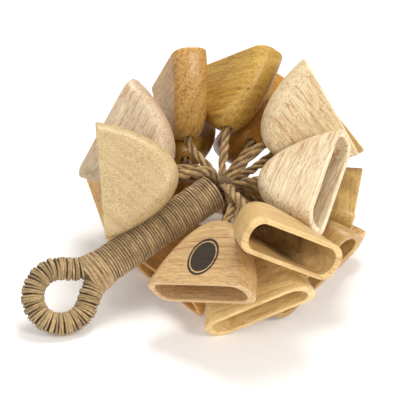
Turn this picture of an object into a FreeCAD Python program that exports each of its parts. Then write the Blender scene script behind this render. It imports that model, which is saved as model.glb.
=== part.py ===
import FreeCAD, Part
import math
import os
from FreeCAD import Vector

# A rattle of twenty flat, bell-shaped wooden shells, each on its own knotted cord.
# It lies on its side, Z up: from the hub the twine-wrapped handle slopes down
# towards -X and -Y and ends in a hanging loop; the shells lie in a heap round the hub.
# All lengths are in millimetres.

os.makedirs("parts", exist_ok=True)

# ---------------------------------------------------------------- shell sizes
SHELL_WIDTH = 98.0        # across the mouth
SHELL_HEIGHT = 66.0       # dome to mouth
SHELL_THICK = 31.0        # between the two flat faces
EDGE_ROUND = 12.0         # rounding of the long dome edges
DOME_POWER = 1.3          # fullness of the dome outline
DOME_STEPS = 24           # intervals along the dome outline
WALL_FACE = 4.0           # wood left behind the flat faces
WALL_END = 6.0            # wood left at the two ends of the mouth
WALL_DOME = 10.0          # wood left above the cavity
CAVITY_ROUND = 10.5       # rounding of the cavity's long edges
RIM_ROUND = 1.2           # softened outer edge of the mouth
RIM_ROUND_IN = 0.8        # softened inner edge of the mouth
CORD_HOLE_R = 4.0         # hole through the dome
HOLE_SINK = 1.2           # flare of the hole's outer end

# construction lengths, none of them visible on the finished shell
MOUTH_EXTRA = 20.0        # how far the bell's sides run on past the mouth
TRIM_WIDTH = 400.0        # box that cuts the bell off at the mouth
TRIM_HEIGHT = 100.0
HOLE_OVERRUN = 6.0        # hole cutter beyond the dome wall, at each end
SINK_OVERRUN = 3.0        # flare cutter beyond the dome
CORNER_MARGIN = 1.5       # tells the mouth's outer corner arcs from the cavity's
FLAT_TOL = 1e-3           # edge counts as lying in a plane
MATCH_TOL = 0.05          # two edges count as the same one

# ---------------------------------------------------------------- cord sizes
CORD_R = 3.0              # laid three-strand cord
ROOT_R = 3.2              # bound root of each cord
HOLE_SQUEEZE = 0.1        # the cord is a little thinner where the hole holds it
KNOT_R = 6.5              # stopper knot inside the cavity
KNOT_DEPTH = 16.0         # knot centre below the dome
NECK_LEAD = 1.0           # the thinner stretch starts this far outside the dome

# ---------------------------------------------------------------- handle and loop sizes
TWINE_THICK = 4.0         # twine over the handle and over the loop

HANDLE_R = 16.0           # over the twine
CORE_R = HANDLE_R - TWINE_THICK
HANDLE_START = 4.5        # first turn of twine, from the hub point
HANDLE_END = 129.0        # last turn of twine, from the hub point
END_ROUND = 2.5           # rolled edge of the twine at both ends
BORE_OVERRUN = 1.0        # bore cutter beyond each end of the twine
HUB_R = 10.6              # lashing ball that the cords leave from
HUB_BACK = 2.0            # ball centre beyond the hub point, away from the handle
HUB_TRIM = 60.0           # radius and length of the cutter that flattens the ball

LOOP_R = 10.0             # over the twine
LOOP_CORE_R = LOOP_R - TWINE_THICK
LOOP_LENGTH = 61.0        # neck to the far side, centreline
LOOP_HALF = 23.2          # widest half width, centreline
LOOP_WIDEST = 37.0        # distance from the neck to the widest place
LOOP_NECK = 7.5           # half spacing of the two legs at the neck
NECK_PULL = 0.48          # Bezier poles of the widening part,
WIDEST_PULL = 0.58        # as fractions of LOOP_WIDEST from the neck
ROUND_PULL = 0.5523       # Bezier pole distance that gives a quarter ellipse

# ---------------------------------------------------------------- layout
ORIGIN = Vector(-19.500, -9.913, 0.575)     # taken off every position
HUB_POINT = Vector(-2.542, 0.460, 84.797)
HANDLE_DIR = (-0.795006, -0.505045, -0.335997)
LOOP_NORMAL = (0.222382, -0.757996, 0.613179)

# Two lines per shell number:
#   apex of the dome, direction from dome to mouth, direction of the mouth's width,
#   the cord's root and its two guide points.
LAYOUT = {
    "01": ((-36.88, -23.88, 112.04), (-0.99439, -0.09785, -0.04023), (0.09269, -0.62240, -0.77719),
           (-6.16, -2.71, 97.77), (-11.25, -6.81, 109.81), (-22.26, -22.44, 112.63)),
    "02": ((-44.97, 5.78, 104.47), (-0.82035, 0.49456, 0.28711), (-0.48368, -0.33221, -0.80975),
           (-10.40, 6.25, 94.63), (-18.66, 10.50, 102.72), (-34.08, -0.79, 100.66)),
    "03": ((-29.47, 44.71, 109.72), (-0.13637, 0.73334, 0.66604), (-0.26574, 0.62061, -0.73772),
           (-7.04, 12.15, 92.17), (-13.49, 23.46, 99.26), (-27.31, 33.10, 99.18)),
    "04": ((4.75, 50.30, 116.16), (0.14070, 0.81177, 0.56677), (-0.69670, 0.48792, -0.52587),
           (0.05, 12.90, 93.49), (1.13, 25.19, 102.10), (2.49, 37.27, 107.07)),
    "05": ((36.72, 15.66, 119.62), (0.86753, 0.14106, 0.47696), (0.48631, -0.03934, -0.87290),
           (9.04, 5.23, 94.53), (18.49, 8.79, 103.09), (24.37, 13.66, 112.83)),
    "06": ((33.52, -15.59, 100.98), (0.84393, -0.47429, 0.25065), (-0.32061, -0.82054, -0.47320),
           (10.69, -4.29, 90.70), (18.39, -8.10, 94.17), (24.86, -10.72, 98.40)),
    "07": ((25.27, -74.20, 101.01), (0.43110, -0.89987, 0.06615), (0.77466, 0.33153, -0.53851),
           (2.02, -10.48, 92.14), (7.02, -30.61, 103.37), (14.67, -52.06, 99.38)),
    "08": ((2.12, -65.25, 86.98), (-0.31488, -0.82015, -0.47771), (0.82424, -0.48585, 0.29082),
           (4.61, -11.37, 85.99), (11.99, -28.42, 86.69), (8.29, -49.18, 96.34)),
    "09": ((17.88, -55.76, 64.36), (0.17933, -0.85305, -0.49005), (0.85599, -0.11022, 0.50510),
           (6.00, -9.16, 79.58), (14.60, -22.30, 72.30), (14.59, -40.14, 73.33)),
    "10": ((-2.54, -7.69, 43.74), (-0.71866, -0.53821, -0.44030), (0.60430, -0.79666, -0.01251),
           (2.77, 0.85, 71.99), (5.50, 0.39, 62.11), (5.55, -1.63, 48.69)),
    "11": ((-49.98, 24.04, 75.97), (-0.78373, 0.20125, -0.58759), (-0.34031, 0.65227, 0.67730),
           (-10.60, 11.60, 86.03), (-20.00, 22.64, 86.92), (-37.78, 20.91, 85.12)),
    "12": ((-32.22, 54.47, 82.26), (-0.29626, 0.95418, 0.04210), (0.95510, 0.29607, 0.01096),
           (-4.83, 14.88, 84.41), (-9.40, 30.72, 83.16), (-27.03, 37.74, 81.52)),
    "13": ((26.27, 55.57, 99.28), (0.03612, 0.99452, -0.09815), (0.55787, 0.06142, 0.82765),
           (4.28, 14.23, 87.86), (10.48, 29.34, 90.69), (25.63, 38.09, 101.00)),
    "14": ((45.24, 44.55, 93.84), (0.78246, 0.23242, 0.57770), (0.60380, -0.05635, -0.79514),
           (9.96, 10.01, 87.44), (23.33, 20.48, 89.85), (31.04, 40.33, 83.35)),
    "15": ((52.83, 18.58, 72.59), (0.97577, -0.17721, -0.12831), (-0.17823, -0.98398, 0.00361),
           (12.15, 5.33, 82.39), (26.24, 9.47, 79.08), (37.16, 21.42, 74.65)),
    "16": ((48.12, 14.92, 42.47), (0.76496, -0.52799, -0.36888), (-0.59595, -0.79745, -0.09444),
           (9.22, 3.41, 76.05), (22.44, 5.92, 63.80), (33.44, 25.06, 49.55)),
    "17": ((43.70, 39.25, 50.70), (0.78545, 0.61860, -0.02028), (0.48776, -0.63882, -0.59498),
           (7.91, 9.94, 78.70), (19.69, 21.21, 69.70), (28.29, 27.11, 51.10)),
    "18": ((41.32, -24.21, 62.89), (0.57531, -0.75390, -0.31726), (0.69233, 0.24229, 0.67969),
           (10.70, -3.86, 79.84), (22.22, -9.13, 74.27), (32.78, -13.03, 67.60)),
    "19": ((-33.95, 44.51, 50.27), (-0.61595, 0.73102, -0.29364), (0.59442, 0.67588, 0.43572),
           (-6.53, 11.95, 78.05), (-13.48, 25.01, 68.79), (-22.59, 31.02, 55.69)),
    "20": ((5.11, 47.23, 54.68), (0.14733, 0.79131, -0.59340), (0.97158, -0.22815, -0.06302),
           (0.65, 13.01, 77.71), (2.28, 24.69, 69.85), (2.87, 35.23, 63.68)),
}


# ---------------------------------------------------------------- helpers
def unit(components):
    vector = Vector(*components)
    vector.normalize()
    return vector


def square_to(axis, vector):
    """Unit vector along the part of vector that is square to the unit axis."""
    result = vector - axis * vector.dot(axis)
    result.normalize()
    return result


def bezier(*poles):
    curve = Part.BezierCurve()
    curve.setPoles(list(poles))
    return curve.toShape()


def sweep_round(path_edges, start, direction, radius):
    """Solid round bar along the edges, which leave start in the given direction."""
    ring = Part.Wire([Part.Circle(start, direction, radius).toShape()])
    pipe = Part.Wire(path_edges).makePipeShell([ring], True, False)
    if pipe.ShapeType != "Solid":
        pipe = pipe.Solids[0] if pipe.Solids else Part.Solid(pipe)
    return pipe


def save(shape, name):
    if shape.ShapeType != "Solid" and len(shape.Solids) == 1:
        shape = shape.Solids[0]
    moved = shape.copy()
    moved.translate(ORIGIN.negative())
    moved.exportStep("parts/" + name + ".step")


# ---------------------------------------------------------------- shell
# Local frame: X across the mouth, Y through the thickness, Z from the apex (Z = 0)
# to the mouth (Z = SHELL_HEIGHT).
def lies_at(edge, z):
    box = edge.BoundBox
    return abs(box.ZMin - z) < FLAT_TOL and abs(box.ZMax - z) < FLAT_TOL


def make_bell(width, height, thick, edge_round):
    """Solid flat bell whose straight sides run on past the mouth."""
    points = []
    for i in range(DOME_STEPS + 1):
        angle = math.pi * i / DOME_STEPS
        rise = max(math.sin(angle), 0.0) ** (2 / DOME_POWER)
        points.append(Vector(width / 2 * math.cos(angle), 0, SHELL_HEIGHT - height * rise))
    curve = Part.BSplineCurve()
    curve.interpolate(points)

    end_z = SHELL_HEIGHT + MOUTH_EXTRA
    left_end = Vector(-width / 2, 0, end_z)
    right_end = Vector(width / 2, 0, end_z)
    face = Part.Face(Part.Wire([
        curve.toShape(),
        Part.makeLine(points[-1], left_end),
        Part.makeLine(left_end, right_end),
        Part.makeLine(right_end, points[0]),
    ]))
    face.translate(Vector(0, -thick / 2, 0))
    body = face.extrude(Vector(0, thick, 0))
    # outline edges of both flat faces, except the straight ones at the open end
    outline = [edge for edge in body.Edges
               if edge.BoundBox.YLength < FLAT_TOL and not lies_at(edge, end_z)]
    return body.makeFillet(edge_round, outline)


def is_outer_rim(edge):
    """True for a mouth edge on the outside of the shell, False for the cavity's."""
    middle = edge.valueAt((edge.FirstParameter + edge.LastParameter) / 2)
    x, y = abs(middle.x), abs(middle.y)
    if x > SHELL_WIDTH / 2 - WALL_END / 2 or y > SHELL_THICK / 2 - WALL_FACE / 2:
        return True
    corner_x = SHELL_WIDTH / 2 - EDGE_ROUND
    corner_y = SHELL_THICK / 2 - EDGE_ROUND
    if x <= corner_x:
        return False
    # corner arcs: compare with the radius of the outer corner
    reach = ((x - corner_x) ** 2 + (y - corner_y) ** 2) ** 0.5
    return reach > EDGE_ROUND - CORNER_MARGIN


def same_edge(first, second):
    return ((first.CenterOfMass - second.CenterOfMass).Length < MATCH_TOL
            and abs(first.Length - second.Length) < MATCH_TOL)


def soften_rim(shell):
    """Round the outer, then the inner edge of the mouth."""
    rim = [edge for edge in shell.Edges if lies_at(edge, SHELL_HEIGHT)]
    outer_rim = [edge for edge in rim if is_outer_rim(edge)]
    inner_rim = [edge for edge in rim if not is_outer_rim(edge)]
    # guards against a fillet failure: the mouth then keeps its sharp edges
    try:
        rounded = shell.makeFillet(RIM_ROUND, outer_rim)
        # the first fillet renews the edges, so the inner ones are found again
        inner_again = [edge for edge in rounded.Edges if lies_at(edge, SHELL_HEIGHT)
                       and any(same_edge(old, edge) for old in inner_rim)]
        return rounded.makeFillet(RIM_ROUND_IN, inner_again)
    except Exception:
        return shell


def make_shell():
    outer = make_bell(SHELL_WIDTH, SHELL_HEIGHT, SHELL_THICK, EDGE_ROUND)
    outer = outer.cut(Part.makeBox(TRIM_WIDTH, TRIM_WIDTH, TRIM_HEIGHT,
                                   Vector(-TRIM_WIDTH / 2, -TRIM_WIDTH / 2, SHELL_HEIGHT)))
    cavity = make_bell(SHELL_WIDTH - 2 * WALL_END, SHELL_HEIGHT - WALL_DOME,
                       SHELL_THICK - 2 * WALL_FACE, CAVITY_ROUND)
    shell = soften_rim(outer.cut(cavity).Solids[0])

    hole = Part.makeCylinder(CORD_HOLE_R, WALL_DOME + 2 * HOLE_OVERRUN,
                             Vector(0, 0, -HOLE_OVERRUN))
    # 45 degree flare, HOLE_SINK deep
    sink_length = HOLE_SINK + SINK_OVERRUN
    sink = Part.makeCone(CORD_HOLE_R + sink_length, CORD_HOLE_R, sink_length,
                         Vector(0, 0, -SINK_OVERRUN))
    return shell.cut(hole).cut(sink).Solids[0]


def place_shell(shell, apex, along, width):
    """Local X to the mouth's width, local Z to the dome-to-mouth direction."""
    z_axis = unit(along)
    x_axis = square_to(z_axis, Vector(*width))
    y_axis = z_axis.cross(x_axis)
    matrix = FreeCAD.Matrix(x_axis.x, y_axis.x, z_axis.x, apex[0],
                            x_axis.y, y_axis.y, z_axis.y, apex[1],
                            x_axis.z, y_axis.z, z_axis.z, apex[2],
                            0, 0, 0, 1)
    placed = shell.copy()
    placed.Placement = FreeCAD.Placement(matrix)
    return placed


# ---------------------------------------------------------------- cord
def make_cord(apex, along, root, guide_1, guide_2):
    """Cord from the hub, through the hole in the dome, to the knot in the cavity."""
    axis = unit(along)
    apex, root, guide_1, guide_2 = (Vector(*p) for p in (apex, root, guide_1, guide_2))
    neck_start = apex - axis * NECK_LEAD
    root_dir = guide_1 - root
    root_dir.normalize()

    cord = sweep_round([bezier(root, guide_1, guide_2, neck_start)], root, root_dir, CORD_R)
    neck = Part.makeCylinder(CORD_R - HOLE_SQUEEZE, KNOT_DEPTH + NECK_LEAD, neck_start, axis)
    # both balls have their poles on the cord, so each keeps one clean round edge
    knot = Part.makeSphere(KNOT_R, apex + axis * KNOT_DEPTH, axis)
    root_ball = Part.makeSphere(ROOT_R, root, root_dir)
    return cord.fuse(neck).fuse(knot).fuse(root_ball)


master_shell = make_shell()
for number, (apex, along, width, root, guide_1, guide_2) in LAYOUT.items():
    save(place_shell(master_shell, apex, along, width), "shell_" + number)
    save(make_cord(apex, along, root, guide_1, guide_2), "cord_" + number)

# ---------------------------------------------------------------- handle
HANDLE_AXIS = unit(HANDLE_DIR)
LOOP_ACROSS = square_to(HANDLE_AXIS, unit(LOOP_NORMAL)).cross(HANDLE_AXIS)
HANDLE_LENGTH = HANDLE_END - HANDLE_START
TWINE_START = HUB_POINT + HANDLE_AXIS * HANDLE_START


def make_handle_core():
    return Part.makeCylinder(CORE_R, HANDLE_LENGTH, TWINE_START, HANDLE_AXIS)


def make_handle_wrap():
    wrap = Part.makeCylinder(HANDLE_R, HANDLE_LENGTH, TWINE_START, HANDLE_AXIS)
    rims = [edge for edge in wrap.Edges if edge.Curve.TypeId == "Part::GeomCircle"]
    wrap = wrap.makeFillet(END_ROUND, rims)
    return wrap.cut(Part.makeCylinder(CORE_R, HANDLE_LENGTH + 2 * BORE_OVERRUN,
                                      TWINE_START - HANDLE_AXIS * BORE_OVERRUN, HANDLE_AXIS))


def make_hub():
    """Lashing ball, cut flat where the handle starts."""
    ball = Part.makeSphere(HUB_R, HUB_POINT - HANDLE_AXIS * HUB_BACK, HANDLE_AXIS)
    return ball.cut(Part.makeCylinder(HUB_TRIM, HUB_TRIM, TWINE_START, HANDLE_AXIS))


save(make_handle_core(), "handle_core")
save(make_handle_wrap(), "handle_wrap")
save(make_hub(), "hub_lashing")


# ---------------------------------------------------------------- loop
def make_leg(side, radius):
    """Half of the loop, neck to far side; side is 1 or -1 along LOOP_ACROSS."""
    neck = HUB_POINT + HANDLE_AXIS * HANDLE_END

    def at(x, y):
        return neck + HANDLE_AXIS * x + LOOP_ACROSS * (side * y)

    rest = LOOP_LENGTH - LOOP_WIDEST
    widening = bezier(at(0, LOOP_NECK), at(NECK_PULL * LOOP_WIDEST, LOOP_NECK),
                      at(WIDEST_PULL * LOOP_WIDEST, LOOP_HALF), at(LOOP_WIDEST, LOOP_HALF))
    closing = bezier(at(LOOP_WIDEST, LOOP_HALF), at(LOOP_WIDEST + ROUND_PULL * rest, LOOP_HALF),
                     at(LOOP_LENGTH, ROUND_PULL * LOOP_HALF), at(LOOP_LENGTH, 0))
    return sweep_round([widening, closing], at(0, LOOP_NECK), HANDLE_AXIS, radius)


def make_loop(radius):
    return make_leg(1, radius).fuse(make_leg(-1, radius)).removeSplitter()


loop_core = make_loop(LOOP_CORE_R)
save(loop_core, "loop_core")
save(make_loop(LOOP_R).cut(loop_core), "loop_wrap")
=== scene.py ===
"""A ring of twenty hollow wooden shells hung on jute cords from one twine-bound handle.

Lengths are millimetres until a mesh or matrix is made; the scene is in metres, +Z up, with
the floor at z = 0. The cords spread from the hub. The handle leaves the hub along
HANDLE_AXIS, towards -X, -Y and down, and ends in a flat rope loop.
Each shell is modelled in its own frame: X along the mouth's width, Y through the
thickness, Z from the dome's top (z = 0) to the mouth.
"""
import math
import random
from collections import namedtuple

import bmesh
import bpy
import numpy as np
from mathutils import Matrix, Vector


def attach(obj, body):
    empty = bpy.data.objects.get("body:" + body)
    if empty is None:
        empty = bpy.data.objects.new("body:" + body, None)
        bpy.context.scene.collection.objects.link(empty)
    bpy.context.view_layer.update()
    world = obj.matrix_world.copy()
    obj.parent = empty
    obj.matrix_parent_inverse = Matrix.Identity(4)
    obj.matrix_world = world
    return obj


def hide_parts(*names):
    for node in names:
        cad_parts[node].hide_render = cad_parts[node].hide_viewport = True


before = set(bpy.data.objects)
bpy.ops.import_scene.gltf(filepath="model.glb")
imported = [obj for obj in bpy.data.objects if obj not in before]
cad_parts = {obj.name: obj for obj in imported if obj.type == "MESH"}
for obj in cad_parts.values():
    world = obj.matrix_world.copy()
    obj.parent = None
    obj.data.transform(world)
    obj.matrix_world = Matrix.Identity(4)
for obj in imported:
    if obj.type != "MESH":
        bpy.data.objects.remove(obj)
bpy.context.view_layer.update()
MM = 0.001


# ------------------------------------------------------------------ vectors and curves
def unit(vector):
    vector = np.asarray(vector, float)
    return vector / np.linalg.norm(vector)


def square_to(vector, axis):
    """The unit vector nearest to vector that is at right angles to the unit axis."""
    return unit(vector - axis * (vector @ axis))


def arc_length(points):
    """Distance along the polyline at each of its points."""
    return np.concatenate([[0], np.cumsum(np.linalg.norm(np.diff(points, axis=0), axis=1))])


def sample(points, knots, where):
    """Points of a polyline, linearly interpolated where the distance along it is where."""
    return np.stack([np.interp(where, knots, points[:, i]) for i in range(3)], 1)


def resample(points, step):
    """Even points about step apart, and the distance along the path at each."""
    knots = arc_length(points)
    count = max(4, int(knots[-1] / step))
    where = np.linspace(0, knots[-1], count + 1)
    return sample(points, knots, where), where


def bezier(p0, p1, p2, p3, count):
    t = np.linspace(0, 1, count)[:, None]
    return ((1 - t) ** 3 * p0 + 3 * (1 - t) ** 2 * t * p1
            + 3 * (1 - t) * t ** 2 * p2 + t ** 3 * p3)


def spline(points, count):
    """A natural cubic spline through points, by chord length, sampled at count points."""
    points = np.asarray(points, float)
    gaps = np.linalg.norm(np.diff(points, axis=0), axis=1)
    knots = arc_length(points)
    n = len(points)
    system = np.eye(n)
    right = np.zeros((n, points.shape[1]))
    for i in range(1, n - 1):
        system[i, i - 1] = gaps[i - 1]
        system[i, i] = 2 * (gaps[i - 1] + gaps[i])
        system[i, i + 1] = gaps[i]
        right[i] = 6 * ((points[i + 1] - points[i]) / gaps[i]
                        - (points[i] - points[i - 1]) / gaps[i - 1])
    bend = np.linalg.solve(system, right)
    where = np.linspace(0, knots[-1], count)
    k = np.clip(np.searchsorted(knots, where, side="right") - 1, 0, n - 2)
    gap = gaps[k][:, None]
    before = (knots[k + 1] - where)[:, None]
    after = (where - knots[k])[:, None]
    return (bend[k] * before ** 3 / (6 * gap) + bend[k + 1] * after ** 3 / (6 * gap)
            + (points[k] / gap - bend[k] * gap / 6) * before
            + (points[k + 1] / gap - bend[k + 1] * gap / 6) * after)


# ------------------------------------------------------------------ layout
# Measured places share one frame; taking ORIGIN off brings them into the scene's frame.
ORIGIN = np.array((-19.500, -9.913, 0.575))
HUB_POINT = np.array((-2.542, 0.460, 84.797)) - ORIGIN
HANDLE_AXIS = unit((-0.795006, -0.505045, -0.335997))
LOOP_NORMAL = square_to(np.array((0.222382, -0.757996, 0.613179)), HANDLE_AXIS)
LOOP_ACROSS = np.cross(LOOP_NORMAL, HANDLE_AXIS)
HUB_BACK = 2.0  # the hub's centre lies this far behind the start of the handle axis
HUB_CENTRE = HUB_POINT - HANDLE_AXIS * HUB_BACK

# For each shell: apex of the dome, direction to the mouth, direction of the mouth's width,
# then the cord's root and its two guide points.
Place = namedtuple("Place", "apex along width root guide_1 guide_2")
LAYOUT = {
    "01": ((-36.88, -23.88, 112.04), (-0.99439, -0.09785, -0.04023), (0.09269, -0.62240, -0.77719),
           (-6.16, -2.71, 97.77), (-11.25, -6.81, 109.81), (-22.26, -22.44, 112.63)),
    "02": ((-44.97, 5.78, 104.47), (-0.82035, 0.49456, 0.28711), (-0.48368, -0.33221, -0.80975),
           (-10.40, 6.25, 94.63), (-18.66, 10.50, 102.72), (-34.08, -0.79, 100.66)),
    "03": ((-29.47, 44.71, 109.72), (-0.13637, 0.73334, 0.66604), (-0.26574, 0.62061, -0.73772),
           (-7.04, 12.15, 92.17), (-13.49, 23.46, 99.26), (-27.31, 33.10, 99.18)),
    "04": ((4.75, 50.30, 116.16), (0.14070, 0.81177, 0.56677), (-0.69670, 0.48792, -0.52587),
           (0.05, 12.90, 93.49), (1.13, 25.19, 102.10), (2.49, 37.27, 107.07)),
    "05": ((36.72, 15.66, 119.62), (0.86753, 0.14106, 0.47696), (0.48631, -0.03934, -0.87290),
           (9.04, 5.23, 94.53), (18.49, 8.79, 103.09), (24.37, 13.66, 112.83)),
    "06": ((33.52, -15.59, 100.98), (0.84393, -0.47429, 0.25065), (-0.32061, -0.82054, -0.47320),
           (10.69, -4.29, 90.70), (18.39, -8.10, 94.17), (24.86, -10.72, 98.40)),
    "07": ((25.27, -74.20, 101.01), (0.43110, -0.89987, 0.06615), (0.77466, 0.33153, -0.53851),
           (2.02, -10.48, 92.14), (7.02, -30.61, 103.37), (14.67, -52.06, 99.38)),
    "08": ((2.12, -65.25, 86.98), (-0.31488, -0.82015, -0.47771), (0.82424, -0.48585, 0.29082),
           (4.61, -11.37, 85.99), (11.99, -28.42, 86.69), (8.29, -49.18, 96.34)),
    "09": ((17.88, -55.76, 64.36), (0.17933, -0.85305, -0.49005), (0.85599, -0.11022, 0.50510),
           (6.00, -9.16, 79.58), (14.60, -22.30, 72.30), (14.59, -40.14, 73.33)),
    "10": ((-2.54, -7.69, 43.74), (-0.71866, -0.53821, -0.44030), (0.60430, -0.79666, -0.01251),
           (2.77, 0.85, 71.99), (5.50, 0.39, 62.11), (5.55, -1.63, 48.69)),
    "11": ((-49.98, 24.04, 75.97), (-0.78373, 0.20125, -0.58759), (-0.34031, 0.65227, 0.67730),
           (-10.60, 11.60, 86.03), (-20.00, 22.64, 86.92), (-37.78, 20.91, 85.12)),
    "12": ((-32.22, 54.47, 82.26), (-0.29626, 0.95418, 0.04210), (0.95510, 0.29607, 0.01096),
           (-4.83, 14.88, 84.41), (-9.40, 30.72, 83.16), (-27.03, 37.74, 81.52)),
    "13": ((26.27, 55.57, 99.28), (0.03612, 0.99452, -0.09815), (0.55787, 0.06142, 0.82765),
           (4.28, 14.23, 87.86), (10.48, 29.34, 90.69), (25.63, 38.09, 101.00)),
    "14": ((45.24, 44.55, 93.84), (0.78246, 0.23242, 0.57770), (0.60380, -0.05635, -0.79514),
           (9.96, 10.01, 87.44), (23.33, 20.48, 89.85), (31.04, 40.33, 83.35)),
    "15": ((52.83, 18.58, 72.59), (0.97577, -0.17721, -0.12831), (-0.17823, -0.98398, 0.00361),
           (12.15, 5.33, 82.39), (26.24, 9.47, 79.08), (37.16, 21.42, 74.65)),
    "16": ((48.12, 14.92, 42.47), (0.76496, -0.52799, -0.36888), (-0.59595, -0.79745, -0.09444),
           (9.22, 3.41, 76.05), (22.44, 5.92, 63.80), (33.44, 25.06, 49.55)),
    "17": ((43.70, 39.25, 50.70), (0.78545, 0.61860, -0.02028), (0.48776, -0.63882, -0.59498),
           (7.91, 9.94, 78.70), (19.69, 21.21, 69.70), (28.29, 27.11, 51.10)),
    "18": ((41.32, -24.21, 62.89), (0.57531, -0.75390, -0.31726), (0.69233, 0.24229, 0.67969),
           (10.70, -3.86, 79.84), (22.22, -9.13, 74.27), (32.78, -13.03, 67.60)),
    "19": ((-33.95, 44.51, 50.27), (-0.61595, 0.73102, -0.29364), (0.59442, 0.67588, 0.43572),
           (-6.53, 11.95, 78.05), (-13.48, 25.01, 68.79), (-22.59, 31.02, 55.69)),
    "20": ((5.11, 47.23, 54.68), (0.14733, 0.79131, -0.59340), (0.97158, -0.22815, -0.06302),
           (0.65, 13.01, 77.71), (2.28, 24.69, 69.85), (2.87, 35.23, 63.68)),
}
PLACES = {number: Place(*map(np.array, row)) for number, row in LAYOUT.items()}


def shell_axes(place):
    """The shell frame's X, Y and Z directions."""
    along = unit(place.along)
    width = square_to(place.width, along)
    return width, np.cross(along, width), along


def shell_matrix(place):
    matrix = Matrix.Identity(4)
    origin = (place.apex - ORIGIN) * MM
    for column, axis in enumerate(shell_axes(place)):
        for i in range(3):
            matrix[i][column] = axis[i] * MM
    for i in range(3):
        matrix[i][3] = origin[i]
    return matrix


# ------------------------------------------------------------------ shell mesh
SHELL_WIDTH, SHELL_HEIGHT, SHELL_THICK = 98.0, 66.0, 31.0
WALL_FACE, WALL_END, WALL_DOME = 4.0, 6.0, 10.0
OUTER_EDGE, CAVITY_EDGE = 12.0, 10.5  # radii that round the faces into the side
OUTER_CROWN = 0.25                    # bulge of the outer faces along their middle
DOME_POWER = 1.3
PAST_MOUTH = 60.0                     # how far the outline's sides run on past the mouth
DOME_STATIONS, OUTLINE_POINTS = 25, 481
HALF_COLUMNS, FACE_ROWS, EDGE_ROWS, SIDE_ROWS = 46, 9, 8, 3
RIM_OUTER, RIM_INNER, RIM_STEPS = 1.5, 1.2, 4
RIM_SQUEEZE = 8.0                     # depth over which the walls shorten to meet the rim
HOLE_SEGMENTS = 40
# (radius, z) of the cord hole: flared into the cavity, with a worn lip outside
HOLE_PROFILE = [
    (0.0, -12.0), (4.9, -12.0), (4.9, -0.2), (4.25, 0.55), (3.95, 1.5), (3.9, 3.0),
    (3.9, 8.6), (4.5, 10.0), (6.2, 11.6), (0.0, 11.6),
]


def outline(width, height):
    """The dome outline in (x, z), from +X to -X, with its sides carried on past the mouth."""
    theta = np.pi * np.arange(DOME_STATIONS) / (DOME_STATIONS - 1)
    x = width / 2 * np.cos(theta)
    z = SHELL_HEIGHT - height * np.maximum(np.sin(theta), 0.0) ** (2 / DOME_POWER)
    curve = spline(np.stack([x, z], 1), OUTLINE_POINTS)
    end = SHELL_HEIGHT + PAST_MOUTH
    return np.concatenate([[[width / 2, end]], curve, [[-width / 2, end]]])


def distance_to(line, points):
    start = line[:-1]
    edge = line[1:] - start
    length_squared = (edge ** 2).sum(1) + 1e-12
    offset = points[:, None, :] - start[None]
    t = np.clip((offset * edge[None]).sum(2) / length_squared, 0, 1)
    return np.linalg.norm(offset - t[..., None] * edge[None], axis=2).min(1)


def inset(line, angles, distance):
    """Where rays from the middle of the mouth come within distance of the outline."""
    rays = np.stack([np.cos(angles), -np.sin(angles)], 1)
    centre = np.array([0.0, SHELL_HEIGHT])
    top = int(np.argmin(line[:, 1]))
    half_x, half_z = line[: top + 1][::-1].T

    def bisect(low, high, is_inside, rounds):
        for _ in range(rounds):
            middle = (low + high) / 2
            inside = is_inside(centre + rays * middle[:, None])
            low, high = np.where(inside, middle, low), np.where(inside, high, middle)
        return (low + high) / 2

    def within_outline(points):
        in_width = np.abs(points[:, 0]) <= np.interp(points[:, 1], half_z, half_x)
        return in_width & (points[:, 1] > line[:, 1].min())

    nearest = np.zeros(len(angles))
    reach = bisect(nearest, np.full(len(angles), 200.0), within_outline, 40)
    if distance > 0:
        reach = bisect(nearest, reach, lambda points: distance_to(line, points) >= distance, 34)
    return centre + rays * reach[:, None]


def bell_grid(width, height, thick, edge, crown=0.0):
    """Rows run from the middle of one face, over its edge and round to the other face.
    Returns rows x columns x 3; columns follow the dome outline from +X to -X."""
    line = outline(width, height)
    curve = line[1:-1]
    knots = arc_length(curve)
    curve_angles = np.arctan2(SHELL_HEIGHT - curve[:, 1], curve[:, 0])
    angles = np.interp(np.linspace(0, knots[-1], 2 * HALF_COLUMNS + 1), knots, curve_angles)
    angles[0], angles[-1], angles[HALF_COLUMNS] = 0.0, math.pi, math.pi / 2
    half = thick / 2
    flat = half - edge
    face_edge = inset(line, angles, edge)

    def row(x, y, z):
        return np.stack([x, np.full(len(x), y), z], 1)

    rows = []
    for k in range(FACE_ROWS):
        spread = (k / FACE_ROWS) ** 0.9
        y = half + crown * (1 - spread ** 2)
        rows.append(row(face_edge[:, 0] * spread, y, face_edge[:, 1]))
    for k in range(EDGE_ROWS + 1):
        angle = math.pi / 2 * (1 - k / EDGE_ROWS)
        points = inset(line, angles, edge * (1 - math.cos(angle)))
        rows.append(row(points[:, 0], half - edge + edge * math.sin(angle), points[:, 1]))
    mirrored = [points * (1, -1, 1) for points in rows[::-1]]
    side = rows[-1]
    for k in range(1, SIDE_ROWS):
        rows.append(row(side[:, 0], flat - 2 * flat * k / SIDE_ROWS, side[:, 2]))
    return np.array(rows + mirrored)


def stop_short(grid, drop):
    """Squeeze the last few millimetres so that the grid ends drop below the rim plane."""
    grid = grid.copy()
    to_mouth = SHELL_HEIGHT - grid[..., 2]
    grid[..., 2] -= drop * np.clip(1 - to_mouth / RIM_SQUEEZE, 0, 1)
    return grid


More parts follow.
